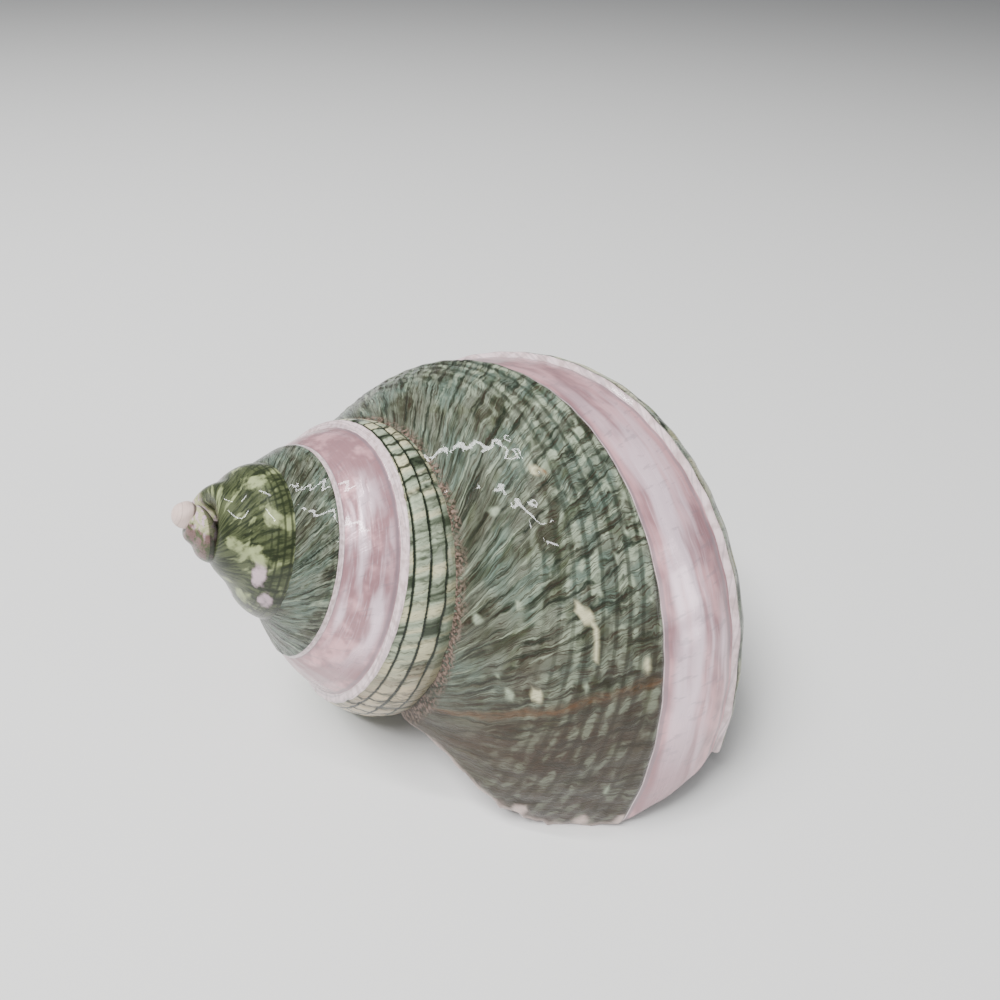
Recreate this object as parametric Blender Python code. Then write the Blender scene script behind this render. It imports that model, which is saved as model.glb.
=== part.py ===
"""Turban shell with a ground mother-of-pearl band: one closed solid.

The shell is drawn with its axis along Z and its apex at the origin, as a whorl tube that
grows along a spiral, with the last turn hollow behind the aperture. It is then laid down
on its aperture, so that world +Z is up, +X runs from the apex to the base and the
underside is at Z = 0. Metres and radians.
"""

import math

import bmesh
import bpy
import numpy as np
from mathutils import Matrix

# Driving dimensions
SHELL_LENGTH = 0.090
LENGTH_UNIT = SHELL_LENGTH / 7.18
TURN = 2 * math.pi
FIRST_TURN = -3.2
LIP_THICKNESS = 0.0017
WALL_THICKNESS = 0.0032
WALL_GROWS_OVER = 0.9
BAND_DEPTH_UPPER = 0.00035
BAND_DEPTH_LOWER = 0.00090
BAND_STARTS = -9.2
LEAST_WALL = 0.0012
CAVITY_TURNS = 0.80
LIP_REFERENCE = 0.80
LIP_ROUNDING = 0.014
CAVITY_AXIS_GAP = 0.30
COLUMELLA_SLOPE = 0.087
COLUMELLA_END = 4.40
APEX_DOWN = 0.24
APEX_RADIUS = 0.188
APEX_OPENS_OVER = 0.55
APEX_START_SHARE = 0.40

# Resting pose
AXIS_DIP = math.radians(30.28)
UNDERSIDE_ANGLE = math.radians(121.84)
CONTACT_FLAT = 0.0004

# Mesh density
STEPS_PER_TURN = 36
STEPS_PER_LENGTH = 31
TONGUE_SIZE = 0.7
CAVITY_END_STEPS = 4

# Growth of the whorl, as powers of e in turns: its distance from the axis, its distance
# below the apex and its own radius, each in length units at the turn that faces outwards
ORBIT = (0.164, 0.764, 0.005, -0.0083)
DROP = (1.461, 0.8305, 0.0797, 0.0269)
RADIUS = (0.7455, 0.6587, -0.0512, -0.0010)

# Departure of the whorl's section from a circle: harmonic, then cosine and sine shares,
# each with its change for one turn of growth
HARMONICS = (
    (2, -0.087, -0.127, 0.098, -0.014),
    (3, 0.063, 0.087, -0.006, -0.061),
    (4, 0.013, -0.022, -0.011, -0.018),
    (5, -0.035, -0.006, 0.031, 0.039),
)


def smooth(x):
    x = np.clip(x, 0.0, 1.0)
    return x * x * (3 - 2 * x)


def growth(terms, t):
    turns = t / TURN
    bent = np.maximum(turns, FIRST_TURN)
    power = terms[0] + terms[1] * turns + terms[2] * bent**2 + terms[3] * bent**3
    return LENGTH_UNIT * np.exp(power)


def section_shape(t, phi):
    turns = np.clip(t / TURN, -2.2, 0.6)
    shape = 1.0
    for n, cosine, cosine_change, sine, sine_change in HARMONICS:
        shape = shape + (cosine + cosine_change * turns) * np.cos(n * phi)
        shape = shape + (sine + sine_change * turns) * np.sin(n * phi)
    return shape


def band_edges(t):
    """Angles round the section where the ground band starts and ends."""
    last = smooth((t + 3.9) / 2.0)
    upper_last = -0.136 + 0.221 * t - 0.005 * t**2
    upper_before = -0.810 + 0.040 * np.cos(t + TURN + 0.6)
    held = np.maximum(t, -1.6)
    lower_last = 0.345 + 0.180 * held - 0.060 * held**2
    lower_before = -0.165 + 0.045 * np.cos(t + TURN + 0.9)
    upper = upper_before + (upper_last - upper_before) * last
    lower = lower_before + (lower_last - lower_before) * last
    return upper, lower


def lip_angle(phi):
    """Angle of growth at which the outer lip ends, round the section."""
    edge = 0.42 + 0.64 / (1 + np.exp(5.0 * (phi - 0.17)))
    above = np.clip(phi, -1.30, 0.0)
    return edge + 0.34 * np.exp(-(above + 1.30) / 0.16)


def wall_at(t, phi):
    """Wall thickness, thin at the lip and full deeper in."""
    inwards = smooth((lip_angle(phi) - t) / WALL_GROWS_OVER)
    return LIP_THICKNESS + (WALL_THICKNESS - LIP_THICKNESS) * inwards


def soft_floor(value, floor, softness):
    return floor + softness * np.logaddexp(0.0, (value - floor) / softness)


def shell_point(t, phi, inset, axis_gap=None):
    """Points of the whorl tube, inset below its outer skin. It never crosses the axis."""
    orbit = growth(ORBIT, t)
    radius = growth(RADIUS, t)
    reach = radius * section_shape(t, phi) - inset
    outwards = reach * np.cos(phi)
    room = orbit - 0.02 * radius
    inwards = -room * np.tanh(-outwards / room)
    out = orbit + np.where(outwards < 0, inwards, outwards)
    if axis_gap is not None:
        out = soft_floor(out, axis_gap * radius, 0.08 * radius)
    down = growth(DROP, t) + reach * np.sin(phi)
    return np.stack([out * np.cos(t), out * np.sin(t), down], axis=-1)


def ring_angles(t):
    """Angles of one ring's points, with rows along both edges of the band."""
    upper, lower = band_edges(t)
    bevel = 0.0009 / growth(RADIUS, t)
    edges = [upper - bevel, upper, lower, lower + bevel]
    knots = [-math.pi, -1.50, *edges, 1.20, 2.50, math.pi]
    counts = [3, 5, 1, 4, 1, 5, 6, 3]
    angles = []
    for start, stop, count in zip(knots[:-1], knots[1:], counts):
        angles.extend(np.linspace(start, stop, count, endpoint=False))
    return np.array(angles)


def band_inset(t, phi):
    """Depth of the ground band below the skin."""
    upper, lower = band_edges(t)
    across = (phi - upper) / (lower - upper)
    inside = (across > -1e-6) & (across < 1 + 1e-6)
    depth = BAND_DEPTH_UPPER + (BAND_DEPTH_LOWER - BAND_DEPTH_UPPER) * across
    fade = smooth((t - BAND_STARTS) / 0.6)
    return np.where(inside, depth * fade, 0.0)


def sheared(t, phi):
    """Growth angle that follows the lip's slant near the aperture."""
    near = smooth((t - LIP_REFERENCE + 1.8) / 1.8)
    return t + near * (lip_angle(phi) - LIP_REFERENCE)


def opened_from_apex(points, t):
    """Draws the first half turn in towards the apex ball, so that it grows out of it."""
    opened = smooth((t / TURN - FIRST_TURN) / APEX_OPENS_OVER)
    share = APEX_START_SHARE + (1 - APEX_START_SHARE) * opened
    centre = np.array([0.0, 0.0, APEX_DOWN * LENGTH_UNIT])
    return centre + (points - centre) * share


def skin_ring(t):
    phi = ring_angles(t)
    along = sheared(t, phi)
    points = shell_point(along, phi, band_inset(t, phi))
    return opened_from_apex(points, t)


def lip_rings():
    """Rings that round the lip's edge off and close the last length of whorl."""
    phi = ring_angles(LIP_REFERENCE)
    lip = lip_angle(phi)
    inset = band_inset(LIP_REFERENCE, phi) + LIP_THICKNESS
    middle = shell_point(lip + LIP_ROUNDING, phi, inset / 2)
    inner = shell_point(lip - 0.010, phi, inset + 0.0006, CAVITY_AXIS_GAP * 0.6)
    return [middle, inner]


def cavity_ring(t):
    phi = ring_angles(t)
    along = sheared(t, phi)
    inset = np.maximum(wall_at(along, phi), band_inset(t, phi) + LEAST_WALL)
    return shell_point(along, phi, inset, CAVITY_AXIS_GAP)


def whorl_lengths():
    """Closed lengths of solid whorl, from the lip back to the apex, as lists of rings."""
    start = FIRST_TURN * TURN
    count = round((LIP_REFERENCE - start) / TURN * STEPS_PER_TURN)
    stations = np.linspace(start, LIP_REFERENCE, count + 1)
    lengths = []
    last = count
    while last > 0:
        first = max(0, last - STEPS_PER_LENGTH)
        if first < STEPS_PER_LENGTH // 3:
            first = 0
        rings = [skin_ring(t) for t in stations[first : last + 1]]
        if last == count:
            rings.extend(lip_rings())
        else:
            beyond = skin_ring(stations[last] + TURN / STEPS_PER_TURN)
            middle = beyond.mean(axis=0)
            rings.append(middle + (beyond - middle) * TONGUE_SIZE)
        lengths.append(rings)
        last = first
    return lengths


def cavity_rings():
    """Rings of the hollow, from outside the aperture to its rounded end."""
    rings = []
    inner_count = round(CAVITY_TURNS * STEPS_PER_TURN)
    for step in range(-2, inner_count + 1):
        ring = cavity_ring(LIP_REFERENCE - step * TURN / STEPS_PER_TURN)
        left = (inner_count - step) / CAVITY_END_STEPS
        closing = math.sqrt(max(0.0, 1 - (1 - min(left, 1.0)) ** 2))
        middle = ring.mean(axis=0)
        rings.append(middle + (ring - middle) * max(closing, 0.08))
    return rings[::-1]


def loft(rings):
    """Points and faces of a closed body through the rings."""
    rows = len(rings[0])
    points = list(np.concatenate(rings))
    faces = []
    for i in range(len(rings) - 1):
        for j in range(rows):
            k = (j + 1) % rows
            a = i * rows
            b = a + rows
            faces.append((a + j, b + j, b + k))
            faces.append((a + j, b + k, a + k))
    ends = ((0, False), (len(rings) - 1, True))
    for index, turned in ends:
        centre = len(points)
        points.append(rings[index].mean(axis=0))
        for j in range(rows):
            k = (j + 1) % rows
            face = (centre, index * rows + j, index * rows + k)
            faces.append(face[::-1] if turned else face)
    return np.array(points), faces


def add_mesh(name, points, faces, collection, material):
    mesh = bpy.data.meshes.new(name)
    mesh.from_pydata([tuple(p) for p in points], [], faces)
    mesh.validate()
    mesh.materials.append(material)
    for polygon in mesh.polygons:
        polygon.use_smooth = True
    obj = bpy.data.objects.new(name, mesh)
    collection.objects.link(obj)
    return obj


def lie_down(bodies):
    """Turns the drawn bodies to the resting pose, with the shell's box over the origin."""
    turn = Matrix.Rotation(AXIS_DIP, 3, "Y") @ Matrix.Rotation(math.pi / 2, 3, "Y")
    spin = Matrix.Rotation(-UNDERSIDE_ANGLE, 3, "Z")
    matrix = np.array(turn @ spin)
    laid = [(name, points @ matrix.T, faces) for name, points, faces in bodies]
    skin = np.concatenate([points for name, points, faces in laid if name != "cavity"])
    low = skin.min(axis=0)
    high = skin.max(axis=0)
    shift = np.array([-(low[0] + high[0]) / 2, -(low[1] + high[1]) / 2, -low[2]])
    shift = shift - np.array([0.0, 0.0, CONTACT_FLAT])
    return [(name, points + shift, faces) for name, points, faces in laid]


def columella():
    """Solid pillar on the axis, a cone with a rounded end at the base."""
    angles = np.linspace(0.0, TURN, 12, endpoint=False)
    rings = []
    for down in (0.25, COLUMELLA_END):
        rings.append((down, COLUMELLA_SLOPE * down))
    end_radius = COLUMELLA_SLOPE * COLUMELLA_END
    for turned in (0.5, 1.0, 1.35):
        down = COLUMELLA_END + end_radius * math.sin(turned)
        rings.append((down, end_radius * math.cos(turned)))
    points = []
    for down, radius in rings:
        level = np.full_like(angles, down)
        ring = np.stack([radius * np.cos(angles), -radius * np.sin(angles), level], axis=-1)
        points.append(ring * LENGTH_UNIT)
    return loft(points)


def apex_ball():
    """Worn ball at the tip that the first turn grows out of."""
    ball = bmesh.new()
    bmesh.ops.create_icosphere(ball, subdivisions=3, radius=APEX_RADIUS * LENGTH_UNIT)
    points = np.array([tuple(vertex.co) for vertex in ball.verts])
    faces = [tuple(vertex.index for vertex in face.verts) for face in ball.faces]
    ball.free()
    return points + np.array([0.0, 0.0, APEX_DOWN * LENGTH_UNIT]), faces


def add_boolean(obj, other, operation):
    modifier = obj.modifiers.new(f"{operation.lower()}_{other.name}", "BOOLEAN")
    modifier.operation = operation
    modifier.object = other
    modifier.solver = "EXACT"


def build_shell():
    visible = bpy.data.collections.new("turban_shell")
    bpy.context.scene.collection.children.link(visible)
    helpers = bpy.data.collections.new("helpers")
    bpy.context.scene.collection.children.link(helpers)
    helpers.hide_render = True
    material = shell_material()
    lengths = whorl_lengths()
    bodies = [(f"whorl_{i}", *loft(rings)) for i, rings in enumerate(lengths)]
    bodies.append(("cavity", *loft(cavity_rings())))
    bodies.append(("columella", *columella()))
    bodies.append(("apex_ball", *apex_ball()))
    made = {}
    for name, points, faces in lie_down(bodies):
        made[name] = add_mesh(name, points, faces, helpers, material)
    made["floor_slab"] = add_mesh("floor_slab", *floor_slab(), helpers, material)
    for helper in made.values():
        helper.hide_render = True
        helper.display_type = "WIRE"
    shell = bpy.data.objects.new("turban_shell", made["whorl_0"].data.copy())
    visible.objects.link(shell)
    add_boolean(shell, made["cavity"], "DIFFERENCE")
    for i in range(1, len(lengths)):
        add_boolean(shell, made[f"whorl_{i}"], "UNION")
    add_boolean(shell, made["columella"], "UNION")
    add_boolean(shell, made["apex_ball"], "UNION")
    add_boolean(shell, made["floor_slab"], "DIFFERENCE")


def floor_slab():
    """Block under Z = 0 that wears the resting points flat."""
    slab = bmesh.new()
    bmesh.ops.create_cube(slab, size=1.0)
    points = np.array([tuple(vertex.co) for vertex in slab.verts])
    faces = [tuple(vertex.index for vertex in face.verts) for face in slab.faces]
    slab.free()
    points = points * np.array([0.3, 0.3, 0.02]) - np.array([0.0, 0.0, 0.01])
    return points, faces


def shell_material():
    material = bpy.data.materials.new("shell_jade")
    material.use_nodes = True
    shader = material.node_tree.nodes["Principled BSDF"]
    shader.inputs["Base Color"].default_value = (0.16, 0.19, 0.14, 1.0)
    shader.inputs["Roughness"].default_value = 0.3
    shader.inputs["Coat Weight"].default_value = 0.5
    return material


def clear_scene():
    for obj in list(bpy.data.objects):
        bpy.data.objects.remove(obj, do_unlink=True)


def main():
    clear_scene()
    build_shell()


main()
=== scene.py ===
"""Turban shell with a ground mother-of-pearl band, dressed for a studio picture.

The skin follows the same growth spiral as the solid, drawn finer, with ribs and growth
marks. Coordinates on the shell are t, the angle of growth (0 faces the camera, the lip is
near 0.8 and each earlier turn is a full turn less), and phi, the angle round the whorl
(0 at the periphery, more towards the base, less towards the apex). Metres and radians.
"""

import math

import bpy
import numpy as np
from mathutils import Matrix, Vector


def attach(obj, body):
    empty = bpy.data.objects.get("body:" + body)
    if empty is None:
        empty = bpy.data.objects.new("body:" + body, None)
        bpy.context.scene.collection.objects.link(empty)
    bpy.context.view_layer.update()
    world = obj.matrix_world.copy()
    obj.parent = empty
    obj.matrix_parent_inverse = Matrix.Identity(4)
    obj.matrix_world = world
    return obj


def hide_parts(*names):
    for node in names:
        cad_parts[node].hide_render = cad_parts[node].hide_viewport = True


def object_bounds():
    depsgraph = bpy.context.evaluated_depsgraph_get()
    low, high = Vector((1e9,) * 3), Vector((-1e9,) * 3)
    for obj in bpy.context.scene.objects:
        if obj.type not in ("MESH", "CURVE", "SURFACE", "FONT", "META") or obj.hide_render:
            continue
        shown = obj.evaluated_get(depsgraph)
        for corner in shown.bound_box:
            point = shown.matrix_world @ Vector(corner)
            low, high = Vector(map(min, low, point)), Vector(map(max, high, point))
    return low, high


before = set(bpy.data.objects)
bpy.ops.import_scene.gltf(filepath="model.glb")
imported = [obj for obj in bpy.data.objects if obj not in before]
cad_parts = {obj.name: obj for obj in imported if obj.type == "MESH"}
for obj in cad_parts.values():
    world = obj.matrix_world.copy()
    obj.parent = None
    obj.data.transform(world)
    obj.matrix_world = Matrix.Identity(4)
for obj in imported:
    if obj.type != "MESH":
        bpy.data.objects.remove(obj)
cad_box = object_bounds()

# Growth spiral, the same values as the solid, but for the tip, which is drawn narrower.
# Growth has terms of the turns. A harmonic has its number, its cosine and the cosine's
# change in a turn, its sine and the sine's change, held outside the turns of SHAPE_CHANGES
TURN = 2 * math.pi
LENGTH_UNIT = 0.090 / 7.18
FIRST_TURN = -3.2
ORBIT = (0.164, 0.764, 0.005, -0.0083)
DROP = (1.461, 0.8305, 0.0797, 0.0269)
RADIUS = (0.7455, 0.6587, -0.0512, -0.0010)
SHAPE_CHANGES = (-2.2, 0.6)
HARMONICS = (
    (2, -0.087, -0.127, 0.098, -0.014),
    (3, 0.063, 0.087, -0.006, -0.061),
    (4, 0.013, -0.022, -0.011, -0.018),
    (5, -0.035, -0.006, 0.031, 0.039),
)
LIP_REFERENCE = 0.80
LIP_THICKNESS = 0.0017
WALL_THICKNESS = 0.0032
WALL_GROWS_OVER = 0.9
BAND_DEPTH_UPPER = 0.00035
BAND_DEPTH_LOWER = 0.00090
BAND_STARTS = -9.2
BAND_FADES_OVER = 0.6
LEAST_WALL = 0.0012
CAVITY_TURNS = 0.80
CAVITY_AXIS_GAP = 0.30
COLUMELLA_SLOPE = 0.087
COLUMELLA_START = 2.00
COLUMELLA_END = 4.40
APEX_DOWN = 0.24
APEX_RADIUS = 0.188
APEX_OPENS_OVER = 0.55
APEX_START_SHARE = 0.40
TIP_SHARE = 0.76

# Edges of the band: on the last whorl its level, slope and bend in t, and before it the
# level, height and phase of one wave round the turn
UPPER_EDGE_LAST = (-0.136, 0.221, -0.005)
UPPER_EDGE_BEFORE = (-0.810, 0.040, 0.6)
LOWER_EDGE_LAST = (0.345, 0.180, -0.060)
LOWER_EDGE_BEFORE = (-0.165, 0.045, 0.9)
LOWER_EDGE_HELD_TO = -1.6
LAST_EDGES_FROM = -3.9
LAST_EDGES_OVER = 2.0

# Resting pose, then the camera's place and its turn, whose columns are right, up and back,
# all in the same frame
AXIS_DIP = math.radians(30.28)
UNDERSIDE_ANGLE = math.radians(121.84)
SHIFT = (-0.0390170, 0.0058150, 0.0428968)
CAMERA_AT = (-0.0390998, -0.0823758, 0.1063631)
CAMERA_AXES = (
    (0.8906860, 0.2555968, -0.3759637),
    (-0.4536650, 0.5532593, -0.6986359),
    (0.0294363, 0.7928268, 0.6087357),
)
CAMERA_LENS = 28.8

# Rows of the skin across the section: inner side, upper skin, upper cut, band, lower cut,
# ribs, base and inner side again
ROW_COUNTS = (7, 40, 4, 22, 5, 28, 20, 8)
CUT_WIDTH = 0.0009
LOWER_CUT_SHARE = 0.6
SKIN_FROM = -1.50
SKIN_TO = 2.50

# Row where each of those stretches ends
INNER_END, UPPER_END, UPPER_CUT_END, BAND_END, LOWER_CUT_END, RIBS_END, BASE_END, ROWS = (
    int(end) for end in np.cumsum(ROW_COUNTS)
)
RING_POINTS = ROWS + 1

# Angles of growth where the rows that are covered change, and where the pale cuts get
# narrower; then the stations up to SPIRE_ENDS, up to BODY_STARTS and up to the lip
TIP_ENDS = -13.5
SPIRE_ENDS = -10.9
BODY_STARTS = -5.9
NARROW_CUT_FROM = -3.6
SPIRE_STATIONS = 176
MIDDLE_STATIONS = 160
BODY_STATIONS = 308

# Lip and hollow: steps, bulge and set-back of the lip in radians, thickness that it gains
# inwards, gaps to the axis as shares, and the rounded steps at the hollow's ends
LIP_SHEAR_OVER = 1.8
SCALLOP_OVER = 0.25
LIP_STEPS = 6
LIP_BULGE = 0.014
LIP_SETBACK = 0.010
LIP_GAIN = 0.0006
LIP_AXIS_GAP = 0.02
MOUTH_GAP_SHARE = 0.6
CHAMBER_SETBACK = 0.02
CHAMBER_STEPS = 72
ROUNDED_STEPS = 10
CHAMBER_END_SHARE = 0.02

# Pillar and ball at the apex: sides, rings, where the turned ends begin in radians, least
# radius of the pillar and wear of the ball as shares
COLUMELLA_SIDES = 64
COLUMELLA_RINGS = 24
COLUMELLA_END_RINGS = 9
COLUMELLA_END_FROM = 0.15
COLUMELLA_LEAST = 0.0005
APEX_SIDES = 56
APEX_RINGS = 29
APEX_POLE = 0.02
APEX_WEAR = 0.03

# The mesh stays this far inside the solid's box, in metres
BOX_MARGIN = 1e-6

# Ribs and rows of beads across the section, in radians
RIB_START = 0.045
RIB_WIDTH = 0.155
ROW_WIDTH = 0.080

# Depth of the low relief: grooves, beads and folds on the last whorl, and its base, which
# is sunk but for one knob with a centre and width along the growth and round the section
GROOVE_DEPTH = 0.00050
BEAD_DEPTH = 0.00030
FOLD_DEPTH = 0.00012
BASE_DEPTH = 0.00055
KNOB_ALONG = (0.02, 0.16)
KNOB_ROUND = (0.62, 0.16)

# Growth rests: place along the growth lines, width, depth, and reach round the section
BREAKS = (
    (-6.69, 0.018, 0.00030, -1.35, 0.45),
    (-0.59, 0.010, 0.00030, -0.85, 0.20),
    (-1.55, 0.012, 0.00018, -1.20, 0.00),
    (0.20, 0.014, 0.00015, -1.20, 0.05),
    (-5.05, 0.020, 0.00020, -1.35, 0.50),
    (-5.72, 0.016, 0.00016, -0.20, 0.50),
    (-7.60, 0.014, 0.00018, -1.35, 0.50),
)
DEEPEST_BREAK = 0.00030
BREAK_FADES_OVER = 0.15

# Material slots of the mesh, in order
SKIN, CUT, PEARL, INSIDE = range(4)

# Floor's half side and drop, and studio lights: name, place, size, watts, and whether they
# show as highlights
FLOOR_HALF = 3.0
FLOOR_DROP = 0.00002
WORLD_COLOUR = (0.90, 0.92, 0.95, 1)
WORLD_STRENGTH = 0.22
LIGHTS_AIM = (0.0, 0.0, 0.02)
LIGHTS = (
    ("key", (-0.33, -0.02, 0.80), (0.40, 0.40), 10.0, False),
    ("fill", (-0.55, -0.65, 0.45), (0.5, 0.5), 0.8, False),
    ("strip_back", (-0.25, 0.19, 0.75), (0.03, 0.34), 2.2, True),
    ("strip_front", (-0.33, -0.20, 0.66), (0.34, 0.03), 2.2, True),
    ("side", (0.50, -0.60, 0.28), (0.30, 0.30), 1.0, True),
)

# Colours, linear
DEEP_GREEN = (0.012, 0.017, 0.010, 1)
JADE = (0.046, 0.060, 0.036, 1)
GREY_JADE = (0.195, 0.225, 0.170, 1)
BLUE_JADE = (0.155, 0.225, 0.180, 1)
PALE_JADE = (0.42, 0.49, 0.35, 1)
CREAM = (0.66, 0.63, 0.40, 1)
WARM_CREAM = (0.66, 0.50, 0.34, 1)
BROWN = (0.030, 0.017, 0.010, 1)
TAN_AND_SHADE = (0.060, 0.040, 0.026, 1)
RUST = (0.20, 0.08, 0.025, 1)
OLIVE = (0.020, 0.027, 0.012, 1)
MOSS = (0.080, 0.096, 0.044, 1)
LIME = (0.36, 0.41, 0.20, 1)
LILAC = (0.62, 0.46, 0.52, 1)
PINK_WHITE = (0.74, 0.57, 0.51, 1)
DEPOSIT = (0.27, 0.19, 0.15, 1)
TIP_CREAM = (0.56, 0.50, 0.33, 1)
MAUVE_BROWN = (0.21, 0.125, 0.115, 1)
MAUVE = (0.40, 0.215, 0.235, 1)
ROSE = (0.78, 0.43, 0.46, 1)
# Lavender of the painted highlight and sheen on the pearl band
HIGHLIGHT_LAVENDER = (0.98, 0.77, 0.86, 1)
PEARL_GREY = (0.26, 0.22, 0.25, 1)
CUT_PINK = (0.80, 0.64, 0.66, 1)
CUT_SHADE = (0.55, 0.42, 0.42, 1)
INSIDE_PEARL = (0.76, 0.74, 0.72, 1)
INSIDE_ROSE = (0.62, 0.50, 0.54, 1)
INSIDE_GREEN = (0.52, 0.60, 0.56, 1)

# Painted marks on the skin: colour, strength, then t, phi, length and width of each
MARKS = (
    (
        CREAM,
        0.95,
        (
            (0.121, -0.593, 0.034, 0.034),
            (0.185, -0.528, 0.045, 0.020),
            (0.250, -0.523, 0.022, 0.018),
            (0.244, -0.218, 0.028, 0.026),
            (0.479, -0.784, 0.030, 0.036),
            (-0.455, -0.765, 0.030, 0.030),
            (0.100, -0.640, 0.026, 0.026),
        ),
    ),
    (
        PALE_JADE,
        0.80,
        (
            (0.542, -0.924, 0.026, 0.030),
            (0.508, -1.024, 0.014, 0.018),
            (0.288, -1.194, 0.034, 0.034),
            (0.033, -0.528, 0.020, 0.026),
            (0.371, -0.543, 0.024, 0.026),
            (0.728, -0.198, 0.028, 0.024),
            (-0.10, -0.40, 0.020, 0.024),
            (-0.20, -0.32, 0.022, 0.022),
            (0.02, -0.22, 0.016, 0.020),
            (-0.36, -0.36, 0.018, 0.022),
            (-0.62, -0.40, 0.020, 0.022),
            (-0.78, -0.52, 0.022, 0.024),
            (0.15, -0.96, 0.024, 0.030),
            (-0.28, -1.06, 0.030, 0.040),
        ),
    ),
    (RUST, 0.7, ((-0.432, -0.715, 0.026, 0.020),)),
    (
        PINK_WHITE,
        1.0,
        (
            (1.000, -0.538, 0.040, 0.050),
            (0.920, -0.188, 0.040, 0.045),
            (0.840, -0.008, 0.036, 0.030),
        ),
    ),
    (
        LILAC,
        0.95,
        (
            (-11.86, -0.360, 0.20, 0.170),
            (-11.55, -0.080, 0.14, 0.130),
            (-10.75, -0.600, 0.12, 0.100),
        ),
    ),
    (
        LIME,
        0.85,
        (
            (-12.107, -0.500, 0.11, 0.300),
            (-12.118, -1.094, 0.16, 0.200),
            (-12.75, -0.220, 0.14, 0.220),
            (-13.40, -0.400, 0.16, 0.300),
            (-11.20, -0.500, 0.14, 0.200),
        ),
    ),
)


def smooth(x):
    """Soft step from 0 to 1 while x goes from 0 to 1."""
    x = np.clip(x, 0.0, 1.0)
    return x * x * (3 - 2 * x)


def growth(terms, t):
    """A length that grows along the spiral."""
    turns = t / TURN
    bent = np.maximum(turns, FIRST_TURN)
    power = terms[0] + terms[1] * turns + terms[2] * bent**2 + terms[3] * bent**3
    return LENGTH_UNIT * np.exp(power)


def section_shape(t, phi):
    """Radius round the section, as a share of the whorl's."""
    turns = np.clip(t / TURN, *SHAPE_CHANGES)
    shape = 1.0
    for n, cosine, cosine_change, sine, sine_change in HARMONICS:
        shape = shape + (cosine + cosine_change * turns) * np.cos(n * phi)
        shape = shape + (sine + sine_change * turns) * np.sin(n * phi)
    return shape


def band_edge(t, held, on_last, before):
    """Angle round the section of one edge of the band."""
    level, slope, bend = on_last
    last = level + slope * held + bend * held**2
    level, height, phase = before
    earlier = level + height * np.cos(t + TURN + phase)
    return earlier + (last - earlier) * smooth((t - LAST_EDGES_FROM) / LAST_EDGES_OVER)


def band_edges(t):
    upper = band_edge(t, t, UPPER_EDGE_LAST, UPPER_EDGE_BEFORE)
    held = np.maximum(t, LOWER_EDGE_HELD_TO)
    return upper, band_edge(t, held, LOWER_EDGE_LAST, LOWER_EDGE_BEFORE)


def suture_below(t):
    """Angle round the section where the next whorl starts to cover this one."""
    turns = t / TURN
    return 0.62 * np.exp(0.43 * (turns + 0.2)) + 0.035 * smooth((-2.2 - turns) / 0.6)


def lip_angle(phi):
    """Angle of growth where the lip ends, round the section."""
    edge = 0.42 + 0.64 / (1 + np.exp(5.0 * (phi - 0.17)))
    above = np.clip(phi, -1.30, 0.0)
    return edge + 0.34 * np.exp(-(above + 1.30) / 0.16)


def lip_line(phi):
    """The lip's angle, drawn back on the hidden inner side so that the ring closes."""
    drawn = smooth((phi + math.pi) / 0.9)
    return lip_angle(math.pi) + (lip_angle(phi) - lip_angle(math.pi)) * drawn


def growth_line(phi):
    """How far the growth lines slant ahead, round the section."""
    return -0.30 * phi + 0.45 * np.exp(-(np.maximum(phi, -1.5) + 1.3) / 0.35)


def wall_at(t, phi):
    """Thickness of the wall, which grows inwards from the lip."""
    inwards = smooth((lip_line(phi) - t) / WALL_GROWS_OVER)
    return LIP_THICKNESS + (WALL_THICKNESS - LIP_THICKNESS) * inwards


def soft_floor(value, floor, softness):
    """The value, bent softly so that it stays above the floor."""
    return floor + softness * np.logaddexp(0.0, (value - floor) / softness)


def shell_point(t, phi, inset, axis_gap=None):
    """Point this far below the skin, kept off the axis and, in the hollow, off the pillar."""
    orbit = growth(ORBIT, t)
    radius = growth(RADIUS, t)
    reach = radius * section_shape(t, phi) - inset
    outwards = reach * np.cos(phi)
    room = orbit - 0.02 * radius
    inwards = -room * np.tanh(-outwards / room)
    out = orbit + np.where(outwards < 0, inwards, outwards)
    if axis_gap is not None:
        out = soft_floor(out, axis_gap * radius, 0.08 * radius)
    down = growth(DROP, t) + reach * np.sin(phi)
    return np.stack([out * np.cos(t), out * np.sin(t), down], axis=-1)


def ring_rows(t):
    """Angles of one ring's points, with rows along both edges of the band."""
    upper, lower = band_edges(t)
    cut = CUT_WIDTH / growth(RADIUS, t)
    near_lip = smooth((t + 7.0) / 2.0)
    ribs_end = suture_below(t) + 0.12
    ribs_end = ribs_end + (1.20 - ribs_end) * near_lip
    knots = [-math.pi, SKIN_FROM, upper - cut, upper, lower, lower + cut, ribs_end, SKIN_TO]
    knots.append(math.pi)
    angles = []
    for start, stop, count in zip(knots[:-1], knots[1:], ROW_COUNTS):
        angles.extend(np.linspace(start, stop, count, endpoint=False))
    angles.append(math.pi)
    return np.array(angles)


def opened_from_apex(points, t):
    """Draws the first half turn in towards the apex ball, so that it grows out of it."""
    opened = smooth((t / TURN - FIRST_TURN) / APEX_OPENS_OVER)
    share = APEX_START_SHARE + (1 - APEX_START_SHARE) * opened
    centre = np.array([0.0, 0.0, APEX_DOWN * LENGTH_UNIT])
    return centre + (points - centre) * share


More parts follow.
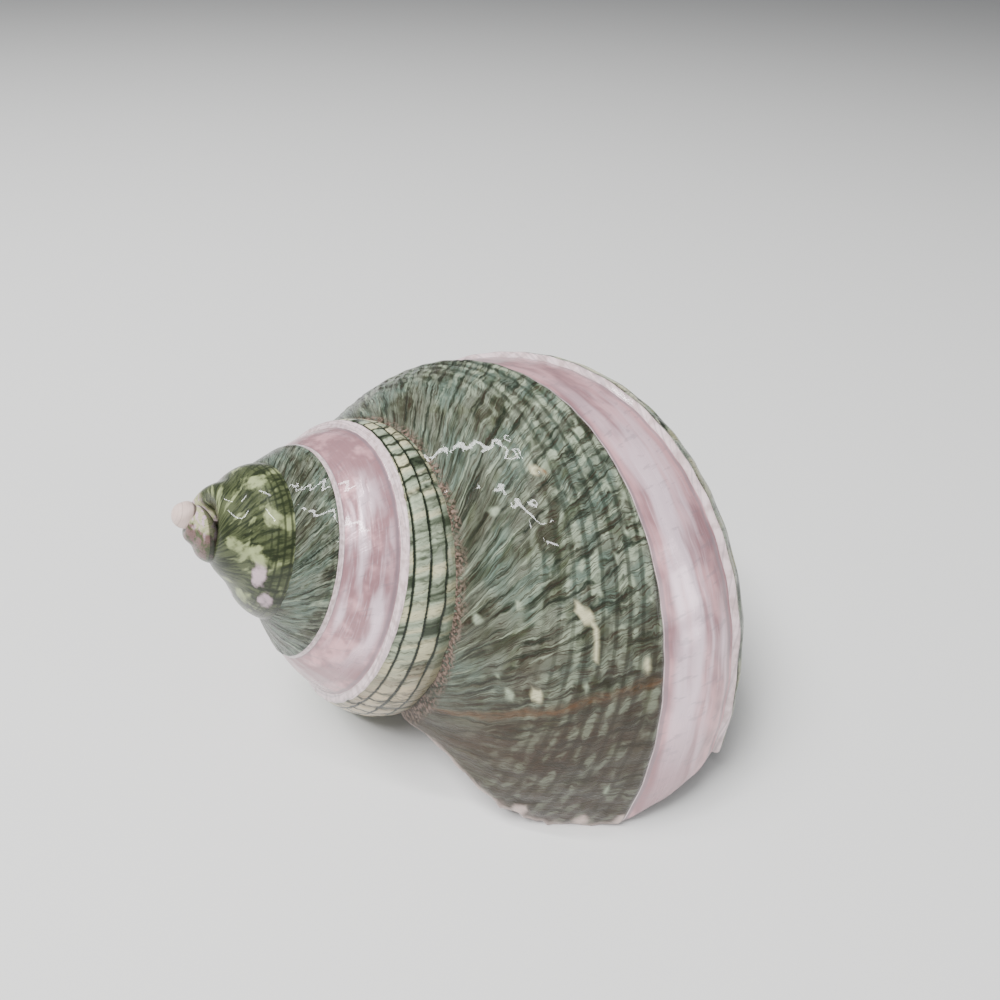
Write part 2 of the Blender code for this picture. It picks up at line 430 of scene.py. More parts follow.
def sheared(t, phi):
    """Angle of growth, drawn near the lip to its slanting and slightly scalloped edge."""
    near = smooth((t - LIP_REFERENCE + LIP_SHEAR_OVER) / LIP_SHEAR_OVER)
    scallop = 0.007 * np.sin(phi * 38.0) + 0.005 * np.sin(phi * 17.0 + 1.0) - 0.010
    scallop = scallop * smooth((t - LIP_REFERENCE + SCALLOP_OVER) / SCALLOP_OVER)
    return t + near * (lip_line(phi) - LIP_REFERENCE) + scallop


def band_inset(t, phi):
    """Depth of the ground band, with a slanting cut along each edge."""
    upper, lower = band_edges(t)
    cut = CUT_WIDTH / growth(RADIUS, t)
    across = np.clip((phi - upper) / (lower - upper), 0.0, 1.0)
    depth = BAND_DEPTH_UPPER + (BAND_DEPTH_LOWER - BAND_DEPTH_UPPER) * across
    wall_up = np.clip((phi - upper + cut) / cut, 0.0, 1.0)
    lower_cut = cut * LOWER_CUT_SHARE
    wall_down = np.clip((lower + lower_cut - phi) / lower_cut, 0.0, 1.0)
    fade = smooth((t - BAND_STARTS) / BAND_FADES_OVER)
    return depth * np.minimum(smooth(wall_up), smooth(wall_down)) * fade


def ribbed_share(t, phi):
    """How strongly the skin is ribbed: below the band, not on the first whorls."""
    lower = band_edges(t)[1]
    below = smooth((phi - lower - 0.02) / 0.06) * (1 - smooth((phi - 1.5) / 0.5))
    return below * smooth((t + 10.2) / 1.2)


def bell(x, centre, width):
    return np.exp(-(((x - centre) / width) ** 2))


def break_reach(phi, low, high):
    """Share of a growth rest round the section, soft at both ends."""
    return smooth((phi - low) / BREAK_FADES_OVER) * smooth((high - phi) / BREAK_FADES_OVER)


def relief(t, phi):
    """Depth of the grooves and growth marks, below the skin."""
    upper, lower = band_edges(t)
    size = growth(RADIUS, t) / growth(RADIUS, 0.0)
    line = t - growth_line(phi)
    rib = np.abs(np.cos(math.pi * (phi - RIB_START) / RIB_WIDTH))
    groove = smooth((0.42 - rib) / 0.42)
    depth = GROOVE_DEPTH * size * groove * ribbed_share(t, phi)
    above = smooth((upper - 0.06 - phi) / 0.08) * smooth((phi + 1.15) / 0.5)
    rows = 0.5 + 0.5 * np.cos(TURN * phi / ROW_WIDTH + 0.8 * np.sin(line * 9.0))
    beads = 0.5 + 0.5 * np.sin(line * 68.0 + 2.0 * np.sin(phi * 21.0) + 1.5 * np.sin(line * 7.0))
    depth = depth + BEAD_DEPTH * size * above * (1 - rows * beads) * smooth((t + 5.6) / 0.8)
    folds = np.sin(line * 41.0 + 1.2 * np.sin(phi * 6.0 + line * 5.0))
    depth = depth + FOLD_DEPTH * size * (0.5 - 0.5 * folds) * smooth((t + 8.2) / 0.8)
    off_band = 1 - smooth((phi - upper + 0.02) / 0.03) * smooth((lower + 0.02 - phi) / 0.03)
    for place, width, deep, low, high in BREAKS:
        reach = break_reach(phi, low, high)
        depth = depth + deep * bell(line, place, width) * reach * off_band
    knob = bell(t, *KNOB_ALONG) * bell(phi, *KNOB_ROUND)
    sunk = BASE_DEPTH * (1 - knob) * smooth((t + 1.5) / 1.0)
    return depth + sunk * smooth((phi - lower - 0.05) / 0.3)


def lay_down(points):
    """Turns points from the shell's axis into the resting pose."""
    turn = Matrix.Rotation(AXIS_DIP, 3, "Y") @ Matrix.Rotation(math.pi / 2, 3, "Y")
    matrix = np.array(turn @ Matrix.Rotation(-UNDERSIDE_ANGLE, 3, "Z"))
    return points @ matrix.T + np.array(SHIFT)


class Surface:
    """Collects points with their place on the shell, and faces with their material."""

    def __init__(self):
        self.points = []
        self.maps = []
        self.faces = []
        self.slots = []
        self.count = 0

    def add_points(self, points, along, around):
        first = self.count
        self.points.append(points)
        self.maps.append(np.stack([along, around], axis=-1))
        self.count += len(points)
        return first

    def add_faces(self, faces, slots):
        self.faces.append(faces)
        self.slots.append(np.broadcast_to(slots, len(faces)))


def strip_faces(first, second, rows, closed):
    """Quads between two rings of points that start at these indexes."""
    j = np.arange(rows if closed else rows - 1)
    k = (j + 1) % rows
    return np.stack([first + j, second + j, second + k, first + k], axis=-1)


def cap_faces(first, rows, ends_body):
    """Quads straight across a small ring, which close the body that starts or ends there."""
    j = np.arange(rows // 2 - 1)
    across = first + np.stack([j, j + 1, rows - 2 - j, rows - 1 - j], axis=-1)
    return across[:, ::-1] if ends_body else across


def skin_slots(t):
    """Material of each row of faces at this station."""
    slots = np.full(ROWS, SKIN)
    if t > BAND_STARTS + 0.1:
        upper_skin, lower_skin = (3, 2) if t > NARROW_CUT_FROM else (1, 1)
        slots[UPPER_END + upper_skin : UPPER_CUT_END] = CUT
        slots[UPPER_CUT_END:BAND_END] = PEARL
        slots[BAND_END : LOWER_CUT_END - lower_skin] = CUT
    return slots


def shown_rows(t):
    """Rows of faces drawn at this station, without those that lie under other whorls."""
    if TIP_ENDS <= t < SPIRE_ENDS:
        return slice(0, RIBS_END)
    if SPIRE_ENDS <= t < BODY_STARTS:
        return slice(INNER_END, BASE_END)
    return slice(0, ROWS)


def add_skin(surface):
    """Outer skin from the tip to the lip. Gives its last ring."""
    stations = np.concatenate(
        [
            np.linspace(FIRST_TURN * TURN, SPIRE_ENDS, SPIRE_STATIONS, endpoint=False),
            np.linspace(SPIRE_ENDS, BODY_STARTS, MIDDLE_STATIONS, endpoint=False),
            np.linspace(BODY_STARTS, LIP_REFERENCE, BODY_STATIONS),
        ]
    )
    rings = []
    for t in stations:
        phi = ring_rows(t)
        along = sheared(t, phi)
        inset = band_inset(t, phi) + relief(along, phi)
        points = opened_from_apex(shell_point(along, phi, inset), t)
        rings.append(surface.add_points(points, along, phi))
    surface.add_faces(cap_faces(rings[0], ROWS, False), SKIN)
    for t, ring, following in zip(stations[:-1], rings[:-1], rings[1:]):
        faces = strip_faces(ring, following, RING_POINTS, False)
        shown = shown_rows(t)
        surface.add_faces(faces[shown], skin_slots(t)[shown])
    return rings[-1]


def add_lip(surface, previous):
    """Rounded lip, on from the skin's last ring. Gives its own last ring, in the mouth."""
    phi = ring_rows(LIP_REFERENCE)
    lip = sheared(LIP_REFERENCE, phi)
    skin = band_inset(LIP_REFERENCE, phi) + relief(lip, phi)
    for turned in np.linspace(0.0, math.pi, LIP_STEPS + 1)[1:]:
        out = LIP_BULGE * math.sin(turned)
        share = 0.5 - 0.5 * math.cos(turned)
        gap = LIP_AXIS_GAP + (CAVITY_AXIS_GAP * MOUTH_GAP_SHARE - LIP_AXIS_GAP) * share
        inset = skin + (LIP_THICKNESS + LIP_GAIN - skin) * share
        points = shell_point(lip + out - LIP_SETBACK * share, phi, inset, gap)
        ring = surface.add_points(points, lip + out, phi)
        faces = strip_faces(previous, ring, RING_POINTS, False)
        surface.add_faces(faces, CUT if share < 0.8 else INSIDE)
        previous = ring
    return previous


def add_chamber(surface, previous):
    """Hollow behind the lip, down to its rounded and closed end."""
    for step in range(1, CHAMBER_STEPS + 1):
        t = LIP_REFERENCE - CHAMBER_SETBACK - (step / CHAMBER_STEPS) * CAVITY_TURNS * TURN
        phi = ring_rows(t)
        along = sheared(t, phi)
        inset = np.maximum(wall_at(along, phi), band_inset(t, phi) + LEAST_WALL)
        inwards = min(step / ROUNDED_STEPS, 1.0)
        gap = CAVITY_AXIS_GAP * (MOUTH_GAP_SHARE + (1 - MOUTH_GAP_SHARE) * inwards)
        points = shell_point(along, phi, inset, gap)
        left = (CHAMBER_STEPS - step) / ROUNDED_STEPS
        closing = math.sqrt(max(0.0, 1 - (1 - min(left, 1.0)) ** 2))
        middle = points.mean(axis=0)
        points = middle + (points - middle) * max(closing, CHAMBER_END_SHARE)
        ring = surface.add_points(points, along, phi)
        surface.add_faces(strip_faces(previous, ring, RING_POINTS, False), INSIDE)
        previous = ring
    surface.add_faces(cap_faces(previous, ROWS, True), INSIDE)


def add_round(surface, rings, along, around, slot):
    """A turned body through rings of equal length, closed across its small end rings."""
    indexes = [surface.add_points(ring, along(ring), around(ring)) for ring in rings]
    rows = len(rings[0])
    for ring, following in zip(indexes[:-1], indexes[1:]):
        surface.add_faces(strip_faces(ring, following, rows, True), slot)
    surface.add_faces(cap_faces(indexes[0], rows, False), slot)
    surface.add_faces(cap_faces(indexes[-1], rows, True), slot)


def add_columella(surface):
    """Solid pillar on the axis, with a rounded end at the base."""
    angles = np.linspace(0.0, TURN, COLUMELLA_SIDES, endpoint=False)
    end_radius = COLUMELLA_SLOPE * COLUMELLA_END
    drops = np.linspace(COLUMELLA_START, COLUMELLA_END, COLUMELLA_RINGS)
    profile = [(drop, COLUMELLA_SLOPE * drop) for drop in drops]
    for turned in np.linspace(COLUMELLA_END_FROM, math.pi / 2, COLUMELLA_END_RINGS):
        drop = COLUMELLA_END + end_radius * math.sin(turned)
        profile.append((drop, max(end_radius * math.cos(turned), COLUMELLA_LEAST)))
    rings = []
    for down, radius in profile:
        x = radius * np.cos(angles)
        y = -radius * np.sin(angles)
        rings.append(np.stack([x, y, np.full_like(x, down)], axis=-1) * LENGTH_UNIT)
    add_round(surface, rings, lambda r: np.zeros(len(r)), lambda r: r[:, 2] * 60, INSIDE)


def add_apex(surface):
    """Worn ball at the tip that the first turn grows out of."""
    radius = APEX_RADIUS * TIP_SHARE * LENGTH_UNIT
    down = APEX_DOWN - APEX_RADIUS * (1 - TIP_SHARE)
    centre = np.array([0.0, 0.0, down * LENGTH_UNIT])
    angles = np.linspace(0.0, TURN, APEX_SIDES, endpoint=False)
    rings = []
    for polar in np.linspace(math.pi - APEX_POLE, APEX_POLE, APEX_RINGS):
        x = np.sin(polar) * np.cos(angles)
        y = np.sin(polar) * np.sin(angles)
        z = np.full_like(x, -math.cos(polar))
        worn = 1 - APEX_WEAR * np.sin(5 * angles + 4 * polar) * math.sin(polar) ** 2
        rings.append(centre + radius * np.stack([x * worn, y * worn, z], axis=-1))
    add_round(
        surface,
        rings,
        lambda r: np.full(len(r), FIRST_TURN * TURN - 1.0),
        lambda r: (r[:, 2] - centre[2]) / radius,
        SKIN,
    )


def used_points(surface):
    """Points that faces use, laid down inside the solid's box, with their places and faces."""
    points = lay_down(np.concatenate(surface.points))
    low = np.array(cad_box[0]) + BOX_MARGIN
    high = np.array(cad_box[1]) - BOX_MARGIN
    points = np.clip(points, low, high)
    places = np.concatenate(surface.maps)
    faces = np.concatenate(surface.faces)
    used, index = np.unique(faces, return_inverse=True)
    return points[used], places[used], index.reshape(faces.shape)


def build_shell(materials):
    surface = Surface()
    lip = add_lip(surface, add_skin(surface))
    add_chamber(surface, lip)
    add_columella(surface)
    add_apex(surface)
    points, places, faces = used_points(surface)
    slots = np.concatenate(surface.slots)
    mesh = bpy.data.meshes.new("shell_skin")
    mesh.vertices.add(len(points))
    mesh.vertices.foreach_set("co", points.astype(np.float32).ravel())
    mesh.loops.add(faces.size)
    mesh.loops.foreach_set("vertex_index", faces.astype(np.int32).ravel())
    mesh.polygons.add(len(faces))
    mesh.polygons.foreach_set("loop_start", np.arange(0, faces.size, 4, dtype=np.int32))
    mesh.polygons.foreach_set("loop_total", np.full(len(faces), 4, dtype=np.int32))
    for material in materials:
        mesh.materials.append(material)
    mesh.polygons.foreach_set("material_index", slots.astype(np.int32))
    mesh.polygons.foreach_set("use_smooth", np.ones(len(faces), dtype=bool))
    mesh.update(calc_edges=True)
    mesh.validate()
    add_maps(mesh, places)
    shell = bpy.data.objects.new("shell_skin", mesh)
    bpy.context.scene.collection.objects.link(shell)
    return shell


def add_maps(mesh, places):
    """Stores the place on the shell and the painted marks at each point."""
    t, phi = places[:, 0], places[:, 1]
    line = t - growth_line(phi)
    upper, lower = band_edges(t)
    across = (phi - upper) / (lower - upper)
    put_map(mesh, "growth_map", "FLOAT_VECTOR", np.stack([line, phi, t], axis=-1))
    spire = smooth((-10.2 - t + 0.15 * phi) / 0.5)
    zones = np.stack([ribbed_share(t, phi), spire, near_suture(t, phi), across], axis=-1)
    put_map(mesh, "zones", "FLOAT_COLOR", zones)
    put_map(mesh, "paint", "FLOAT_COLOR", painted(t, phi))
    lip = smooth((t - lip_angle(phi) + 0.035) / 0.035) * smooth((t + 3) / 1.0)
    tip = smooth((-14.3 - t) / 0.5)
    lines = np.stack([dark_lines(t, phi, line), lip, tip], axis=-1)
    put_map(mesh, "lines", "FLOAT_VECTOR", lines)


def painted(t, phi):
    """Colour and strength of the painted marks at each point."""
    paint = np.zeros((len(t), 4))
    for colour, strength, spots in MARKS:
        for mark_t, mark_phi, long, wide in spots:
            spot = 1.6 * bell(t, mark_t, long) * bell(phi, mark_phi, wide)
            share = strength * smooth(spot - 0.2)
            paint[:, :3] += share[:, None] * (np.array(colour[:3]) - paint[:, :3])
            paint[:, 3] += share * (1 - paint[:, 3])
    safe = np.maximum(paint[:, 3:], 1e-4)
    paint[:, :3] = np.clip(paint[:, :3] / safe, 0.0, 1.0)
    return paint


def dark_lines(t, phi, line):
    """Strength of the dark growth breaks, and of the seam between the first whorls."""
    breaks = np.zeros(len(t))
    for place, width, deep, low, high in BREAKS:
        mark = deep / DEEPEST_BREAK * bell(line, place, width * 0.8)
        breaks = np.maximum(breaks, mark * break_reach(phi, low, high))
    seam = smooth((phi - suture_below(t) + 0.070) / 0.04) * smooth((-9.3 - t) / 0.5)
    return np.maximum(breaks, 0.9 * seam)


def put_map(mesh, name, kind, values):
    layer = mesh.attributes.new(name, kind, "POINT")
    key = "color" if kind == "FLOAT_COLOR" else "vector"
    layer.data.foreach_set(key, values.astype(np.float32).ravel())


def near_suture(t, phi):
    """Strength of the deposit, on both sides of the last whorl's suture."""
    below = smooth((phi - suture_below(t) + 0.035) / 0.03)
    above = smooth((-1.255 - phi) / 0.035)
    below = below * smooth((t + 7.8) / 1.0) * smooth((-5.2 - t) / 0.5)
    return np.maximum(below, above * smooth((t + 4.2) / 1.0))


class Graph:
    """Short hand for building one material's nodes."""

    def __init__(self, name):
        self.material = bpy.data.materials.new(name)
        self.material.use_nodes = True
        self.tree = self.material.node_tree
        self.shader = self.tree.nodes["Principled BSDF"]

    def put(self, socket, value):
        if isinstance(value, bpy.types.NodeSocket):
            self.tree.links.new(value, socket)
        else:
            socket.default_value = value

    def node(self, kind, **settings):
        made = self.tree.nodes.new(kind)
        for name, value in settings.items():
            setattr(made, name, value)
        return made

    def attribute(self, name, output="Vector"):
        return self.node("ShaderNodeAttribute", attribute_name=name).outputs[output]

    def split(self, vector):
        made = self.node("ShaderNodeSeparateXYZ")
        self.put(made.inputs[0], vector)
        return made.outputs[0], made.outputs[1], made.outputs[2]

    def join(self, x, y, z):
        made = self.node("ShaderNodeCombineXYZ")
        for socket, value in zip(made.inputs, (x, y, z)):
            self.put(socket, value)
        return made.outputs[0]

    def math(self, operation, a, b=0.0):
        made = self.node("ShaderNodeMath", operation=operation)
        self.put(made.inputs[0], a)
        self.put(made.inputs[1], b)
        return made.outputs[0]

    def times(self, a, b):
        return self.math("MULTIPLY", a, b)

    def plus(self, a, b):
        return self.math("ADD", a, b)

    def ramp(self, value, low, high, start=0.0, stop=1.0):
        made = self.node("ShaderNodeMapRange", interpolation_type="SMOOTHSTEP")
        for socket, number in zip(made.inputs, (value, low, high, start, stop)):
            self.put(socket, number)
        return made.outputs[0]

    def noise(self, vector, detail=2.0, roughness=0.5):
        made = self.node("ShaderNodeTexNoise")
        self.put(made.inputs["Vector"], vector)
        self.put(made.inputs["Scale"], 1.0)
        self.put(made.inputs["Detail"], detail)
        self.put(made.inputs["Roughness"], roughness)
        return made.outputs["Fac"]

    def grain(self, first, second, layer, detail=2.0, roughness=0.5):
        """Noise over two coordinates, each with its scale, in a layer of its own."""
        place = self.join(self.times(*first), self.times(*second), layer)
        return self.noise(place, detail, roughness)

    def mix(self, share, a, b):
        made = self.node("ShaderNodeMix", data_type="RGBA")
        self.put(made.inputs[0], share)
        self.put(made.inputs[6], a)
        self.put(made.inputs[7], b)
        return made.outputs[2]

    def bump(self, height, strength, distance):
        made = self.node("ShaderNodeBump")
        self.put(made.inputs["Strength"], strength)
        self.put(made.inputs["Distance"], distance)
        self.put(made.inputs["Height"], height)
        return made.outputs["Normal"]

    def set(self, **values):
        for name, value in values.items():
            self.put(self.shader.inputs[name.replace("_", " ")], value)


def skin_material():
    g = Graph("shell_skin")
    line, around, turns = g.split(g.attribute("growth_map"))
    ribbed, spire, suture = g.split(g.attribute("zones", "Color"))
    breaks, lip, tip = g.split(g.attribute("lines"))
    sway = g.grain((line, 14), (around, 9), 1.5, 3)
    wavy = g.plus(line, g.times(sway, 0.070))
    streak = g.grain((wavy, 28), (around, 3.0), 2.0, 5, 0.60)
    fine = g.grain((wavy, 150), (around, 6.0), 7.0, 3, 0.6)
    crumb = g.grain((turns, 45), (around, 45), 2.0, 3)
    base = body_colour(g, line, wavy, around, streak, fine)
    base = g.mix(ribbed, base, rib_colour(g, line, around, streak, fine))
    base = g.mix(spire, base, spire_colour(g, around, wavy, fine))
    base = g.mix(tip, base, tip_colour(g, around, turns, streak))
    base = with_marks(g, base, turns, around, spire, streak)
    base = g.mix(g.times(breaks, 0.85), base, DEEP_GREEN)
    base = with_deposit(g, base, turns, around, suture, crumb)
    base = g.mix(g.times(lip, 0.8), base, PINK_WHITE)
    rough = g.plus(g.ramp(fine, 0.3, 0.7, 0.42, 0.26), g.times(suture, 0.35))
    g.set(Base_Color=base, Roughness=rough, Coat_Weight=0.35, Coat_Roughness=0.04)
    g.set(Specular_IOR_Level=0.2)
    height = g.plus(streak, g.times(fine, 0.4))
    height = g.times(height, g.plus(1.0, g.times(spire, -0.85)))
    height = g.plus(height, g.times(g.times(suture, crumb), 2.0))
    g.set(Normal=g.bump(height, 0.7, 0.00055))
    return g.material


def with_marks(g, base, turns, around, spire, streak):
    """The painted marks over the skin, with ragged edges."""
    paint = g.node("ShaderNodeAttribute", attribute_name="paint").outputs
    torn = g.grain((turns, 9.0), (around, 6.0), 3.0, 3)
    torn = g.times(g.plus(torn, -0.5), g.plus(0.3, g.times(spire, 1.6)))
    ragged = g.plus(paint["Alpha"], g.times(g.plus(streak, -0.5), 0.5))
    ragged = g.plus(ragged, g.times(torn, g.ramp(paint["Alpha"], 0.0, 0.3)))
    shown = g.times(g.ramp(ragged, 0.05, 1.0), 0.92)
    return g.mix(shown, base, paint["Color"])


def with_deposit(g, base, turns, around, suture, crumb):
    """The crumbly brown deposit along the suture."""
    deposit = g.mix(g.ramp(crumb, 0.40, 0.62), BROWN, DEPOSIT)
    patchy = g.grain((turns, 6.0), (around, 6.0), 9.0, 2)
    kept = g.times(g.ramp(crumb, 0.34, 0.50), g.ramp(patchy, 0.36, 0.50, 0.4))
    return g.mix(g.times(suture, kept), base, deposit)


def body_colour(g, line, wavy, around, streak, fine):
    """Jade and brown skin: wavy dark growth streaks, soft blocks in rows near the band, painted
    shade in the grooves between the cords, and browner and darker towards the lip, partly the
    shell's own brown and partly painted shade.
    """
    broad = g.grain((wavy, 9), (around, 3.2), 4.0, 3)
    cloud = g.grain((line, 3.2), (around, 3.0), 14.0, 2)
    strand = g.grain((wavy, 26), (around, 3.6), 31.0, 3, 0.55)
    base = g.mix(g.ramp(broad, 0.38, 0.60), JADE, GREY_JADE)
    bluish = g.times(g.ramp(cloud, 0.44, 0.58), g.ramp(strand, 0.36, 0.56))
    base = g.mix(g.times(bluish, 0.85), base, BLUE_JADE)
    # Browner and darker towards the lip, the lower side as the shell rests, with fewer pale
    # marks there: partly the shell's own brown, partly painted shade
    near_lip = g.ramp(line, -0.30, 0.50)
    brown_and_shade = g.plus(g.times(near_lip, 0.62), g.times(g.ramp(cloud, 0.52, 0.36), 0.30))
    brown_and_shade = g.plus(brown_and_shade, 0.08)
    base = g.mix(brown_and_shade, base, TAN_AND_SHADE)
    light = g.times(g.ramp(strand, 0.54, 0.68), g.plus(0.65, g.times(near_lip, -0.42)))
    base = g.mix(light, base, PALE_JADE)
    near_band = g.ramp(around, -1.05, -0.55)
    block = g.grain((wavy, 12), (around, 10), 5.0, 2)
    cord = g.math("SINE", g.times(around, TURN / ROW_WIDTH))
    block = g.plus(block, g.times(cord, 0.05))
    soft = g.times(g.ramp(block, 0.48, 0.64), g.plus(0.12, g.times(near_band, 0.70)))
    soft = g.times(soft, g.plus(1.0, g.times(near_lip, -0.35)))
    base = g.mix(soft, base, PALE_JADE)
    # Painted shade: dark lines in the grooves between the cords near the band
    groove_shade = g.times(g.ramp(cord, -0.35, -0.95), g.times(near_band, 0.55))
    base = g.mix(groove_shade, base, DEEP_GREEN)
    yellow = g.grain((line, 9), (around, 9), 25.0, 1)
    base = g.mix(g.times(g.ramp(yellow, 0.58, 0.70), 0.4), base, MOSS)
    base = g.mix(g.times(g.ramp(streak, 0.53, 0.36), 0.92), base, DEEP_GREEN)
    base = g.mix(g.times(g.ramp(fine, 0.51, 0.37), 0.75), base, BROWN)
    away = g.math("ABSOLUTE", g.plus(wavy, -0.255))
    rust = g.times(g.ramp(away, 0.035, 0.0), g.ramp(streak, 0.40, 0.55, 0.3))
    base = g.mix(g.times(rust, 0.6), base, RUST)
    # More tan towards the lip: partly the shell's own brown, partly painted shade of the lower
    # side
    base = g.mix(g.times(near_lip, 0.50), base, TAN_AND_SHADE)
    return g.mix(0.10, base, DEEP_GREEN)


def rib_colour(g, line, around, streak, fine):
    """Flat ribs in cream and green lengths, parted by dark grooves and cross lines."""
    place = g.times(g.plus(around, -RIB_START), 1 / RIB_WIDTH)
    number = g.math("ROUND", place)
    lengths = g.grain((line, 6.0), (number, 3.7), 9.0, 3, 0.6)
    ribs = g.mix(g.ramp(lengths, 0.38, 0.50), JADE, PALE_JADE)
    ribs = g.mix(g.ramp(lengths, 0.48, 0.57), ribs, CREAM)
    warm = g.times(g.ramp(line, -5.75, -5.20), g.ramp(line, -4.2, -4.6))
    ribs = g.mix(g.times(warm, 0.7), ribs, WARM_CREAM)
    sway = g.grain((line, 5.0), (around, 5.0), 6.0, 2)
    across = g.math("SINE", g.plus(g.times(line, TURN / 0.115), g.times(sway, 9.0)))
    bottom = g.times(g.ramp(line, -5.35, -5.20), g.ramp(line, -4.4, -4.7))
    crossed = g.plus(g.ramp(line, -6.66, -6.74), bottom)
    crossed = g.plus(g.times(crossed, 0.8), 0.12)
    ribs = g.mix(g.times(g.ramp(across, -0.55, -0.97), crossed), ribs, DEEP_GREEN)
    ribs = g.mix(g.times(g.ramp(streak, 0.48, 0.36), 0.7), ribs, JADE)
    ribs = g.mix(g.times(g.ramp(fine, 0.44, 0.32), 0.7), ribs, BROWN)
    off = g.math("ABSOLUTE", g.plus(place, g.times(number, -1.0)))
    ragged = g.plus(off, g.times(g.plus(fine, -0.5), 0.20))
    ribs = g.mix(g.ramp(ragged, 0.37, 0.46), ribs, DEEP_GREEN)
    return g.mix(g.times(g.ramp(around, 0.22, 0.34), 0.5), ribs, JADE)


def spire_colour(g, around, wavy, fine):
    """Polished early whorls: dark olive with lime patches and darker spiral bands."""
    patch = g.grain((wavy, 3.6), (around, 1.8), 3.0, 3, 0.55)
    strand = g.grain((wavy, 14), (around, 2.0), 11.0, 3)
    early = g.mix(g.ramp(strand, 0.38, 0.62), OLIVE, MOSS)
    early = g.mix(g.times(g.ramp(patch, 0.54, 0.68), 0.8), early, LIME)
    bands = g.math("SINE", g.times(around, TURN / 0.125))
    low = g.ramp(around, -0.45, -0.15)
    early = g.mix(g.times(g.times(g.ramp(bands, 0.1, 0.9), low), 0.75), early, OLIVE)
    return g.mix(g.times(g.ramp(fine, 0.42, 0.30), 0.5), early, BROWN)


def tip_colour(g, around, turns, streak):
    """Worn first whorls: cream and lilac above, mauve and olive below, a pale tip."""
    worn = g.grain((turns, 1.6), (around, 1.6), 8.0, 2)
    blotch = g.grain((turns, 3.0), (around, 2.4), 21.0, 3)
    place = g.plus(turns, g.times(g.plus(worn, -0.5), 1.2))
    upper = g.mix(g.ramp(streak, 0.40, 0.60), LIME, TIP_CREAM)
    upper = g.mix(g.ramp(blotch, 0.50, 0.57), upper, LILAC)
    lower = g.mix(g.ramp(blotch, 0.42, 0.54), MOSS, MAUVE_BROWN)
    early = g.mix(g.ramp(place, -18.35, -18.15), upper, lower)
    early = g.mix(g.ramp(place, -16.6, -16.2), early, upper)
    early = g.mix(g.ramp(turns, -20.4, -20.9), early, PINK_WHITE)
    speck = g.grain((turns, 20), (around, 12), 4.0, 3)
    early = g.mix(g.times(g.ramp(speck, 0.60, 0.68), 0.5), early, BROWN)
    return g.mix(g.times(g.ramp(streak, 0.42, 0.34), 0.8), early, BROWN)


def pearl_material():
    g = Graph("shell_pearl")
    line, _, turns = g.split(g.attribute("growth_map"))
    across = g.attribute("zones", "Alpha")
    bent = g.grain((turns, 1.2), (across, 1.2), 2.0, 2)
    lane = g.plus(g.times(across, 2.4), g.times(bent, 1.6))
    flow = g.noise(g.join(g.times(turns, 1.3), lane, 1.0), 3, 0.5)
    hair = g.grain((turns, 4.0), (across, 22), 5.0, 3, 0.6)
    cloud = g.grain((turns, 3.4), (across, 1.6), 6.0, 3, 0.6)
    ends = g.plus(g.ramp(turns, 0.30, 0.65), g.ramp(turns, -1.0, -1.5))
    rosy = g.plus(cloud, g.times(ends, -0.10))
    base = g.mix(g.ramp(rosy, 0.38, 0.58), MAUVE, ROSE)
    # Painted highlight and sheen: lavender laid where the band catches the light, on the last
    # whorl and on the turn before, weaker at the band's edges
    highlight_on_body = g.times(g.ramp(turns, -1.1, -0.3), g.ramp(turns, 0.75, 0.25))
    before = g.times(g.ramp(turns, -7.2, -6.5), g.ramp(turns, -5.1, -5.8))
    painted_highlight = g.times(g.plus(g.plus(highlight_on_body, before), 0.12), 0.85)
    rim = g.plus(g.ramp(across, 0.16, 0.02), g.ramp(across, 0.80, 0.97))
    painted_highlight = g.times(painted_highlight, g.plus(1.0, g.times(rim, -0.9)))
    base = g.mix(g.times(g.ramp(flow, 0.44, 0.62), painted_highlight), base, HIGHLIGHT_LAVENDER)
    base = g.mix(g.times(g.ramp(hair, 0.50, 0.68), g.times(painted_highlight, 0.35)), base, HIGHLIGHT_LAVENDER)
    marks = g.grain((line, 40), (across, 3), 9.0, 3, 0.6)
    base = g.mix(g.times(g.ramp(marks, 0.44, 0.34), 0.30), base, PEARL_GREY)
    # Painted shade: grey lines along both edges of the band, at the foot of the cut steps
    edge = g.times(g.ramp(across, 0.90, 0.95), g.ramp(across, 1.01, 0.97))
    edge = g.plus(edge, g.ramp(across, 0.030, 0.0))
    base = g.mix(g.times(edge, 0.6), base, PEARL_GREY)
    g.set(Base_Color=base, Roughness=g.ramp(flow, 0.4, 0.7, 0.36, 0.26), Metallic=0.3)
    g.set(Coat_Weight=0.5, Coat_Roughness=0.07, Specular_IOR_Level=0.35)
    height = g.plus(flow, g.times(marks, 0.12))
    g.set(Normal=g.bump(height, 0.35, 0.0009))
    return g.material


def cut_material():
    g = Graph("shell_cut")
    _, around, turns = g.split(g.attribute("growth_map"))
    grain = g.grain((turns, 20), (around, 30), 1.0, 3)
    layers = g.grain((turns, 1.5), (around, 120), 4.0, 2)
    base = g.mix(g.ramp(grain, 0.4, 0.65), CUT_PINK, CUT_SHADE)
    base = g.mix(g.times(g.ramp(layers, 0.50, 0.40), 0.4), base, PEARL_GREY)
    g.set(Base_Color=base, Roughness=0.30, Coat_Weight=0.4, Coat_Roughness=0.1)
    g.set(Normal=g.bump(layers, 0.3, 0.0003))
    return g.material


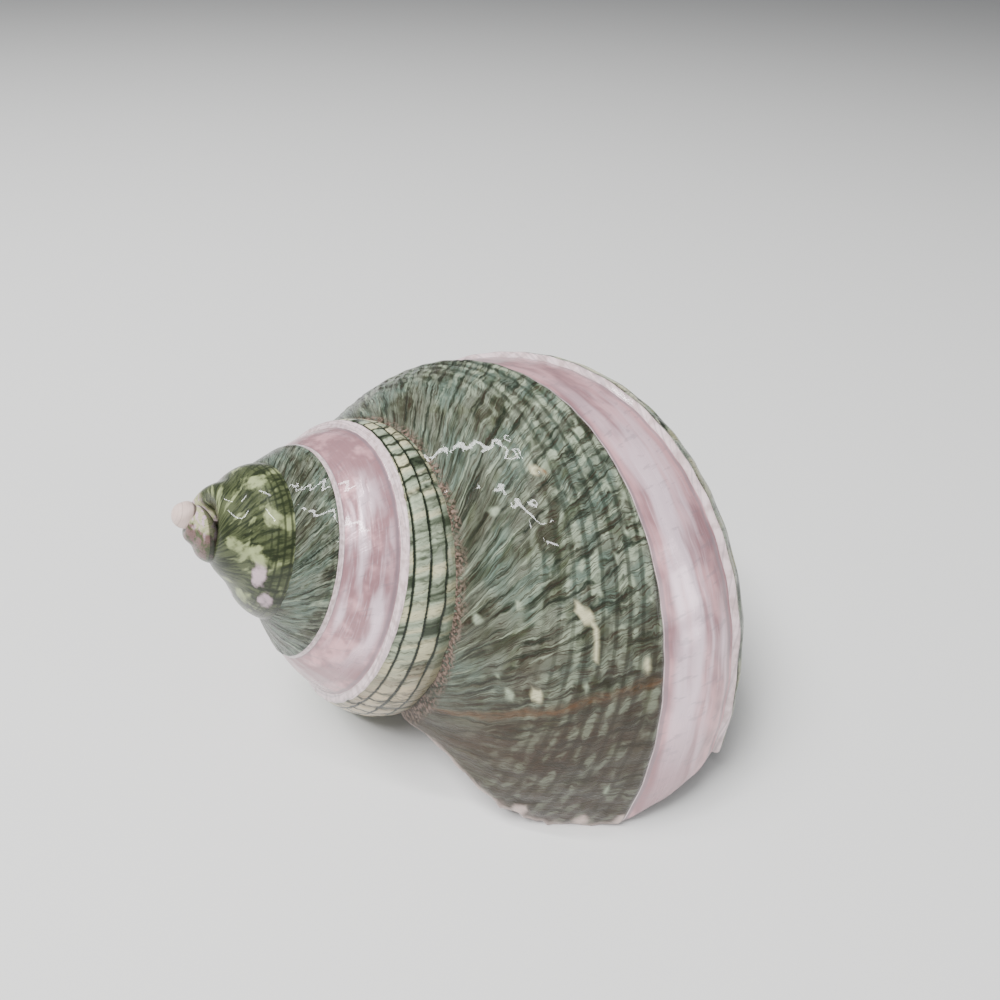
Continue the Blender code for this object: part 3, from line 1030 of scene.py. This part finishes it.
def inside_material():
    g = Graph("shell_inside")
    line, around, turns = g.split(g.attribute("growth_map"))
    cloud = g.grain((turns, 3.0), (around, 3), 6.0, 3)
    hair = g.grain((line, 40), (around, 2), 3.0, 3)
    base = g.mix(g.times(g.ramp(cloud, 0.35, 0.68), 0.6), INSIDE_PEARL, INSIDE_ROSE)
    base = g.mix(g.times(g.ramp(hair, 0.52, 0.66), 0.3), base, INSIDE_GREEN)
    g.set(Base_Color=base, Roughness=0.2, Metallic=0.25, Coat_Weight=0.6)
    g.set(Normal=g.bump(hair, 0.12, 0.0004))
    return g.material


def floor_material():
    g = Graph("floor")
    g.set(Base_Color=(0.80, 0.80, 0.79, 1), Roughness=0.6)
    return g.material


def add_floor():
    corners = [(-1, -1), (1, -1), (1, 1), (-1, 1)]
    mesh = bpy.data.meshes.new("floor")
    points = [(x * FLOOR_HALF, y * FLOOR_HALF, -FLOOR_DROP) for x, y in corners]
    mesh.from_pydata(points, [], [(0, 1, 2, 3)])
    mesh.materials.append(floor_material())
    floor = bpy.data.objects.new("floor", mesh)
    bpy.context.scene.collection.objects.link(floor)


def add_camera():
    data = bpy.data.cameras.new("camera")
    data.lens = CAMERA_LENS
    data.sensor_width = 36.0
    data.clip_start = 0.005
    camera = bpy.data.objects.new("camera", data)
    placed = Matrix(CAMERA_AXES).to_4x4()
    placed.translation = CAMERA_AT
    camera.matrix_world = placed
    bpy.context.scene.collection.objects.link(camera)
    bpy.context.scene.camera = camera


def add_light(name, at, size, watts, shines):
    data = bpy.data.lights.new(name, "AREA")
    data.shape = "RECTANGLE"
    data.size, data.size_y = size
    data.energy = watts
    light = bpy.data.objects.new(name, data)
    light.location = at
    aim = Vector(LIGHTS_AIM) - Vector(at)
    light.rotation_euler = aim.to_track_quat("-Z", "Y").to_euler()
    light.visible_glossy = shines
    bpy.context.scene.collection.objects.link(light)


def add_lights():
    world = bpy.data.worlds.new("studio")
    world.use_nodes = True
    background = world.node_tree.nodes["Background"]
    background.inputs["Color"].default_value = WORLD_COLOUR
    background.inputs["Strength"].default_value = WORLD_STRENGTH
    bpy.context.scene.world = world
    for light in LIGHTS:
        add_light(*light)


def main():
    materials = [skin_material(), cut_material(), pearl_material(), inside_material()]
    shell = build_shell(materials)
    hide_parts("turban_shell")
    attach(shell, "root")
    add_floor()
    add_camera()
    add_lights()


main()
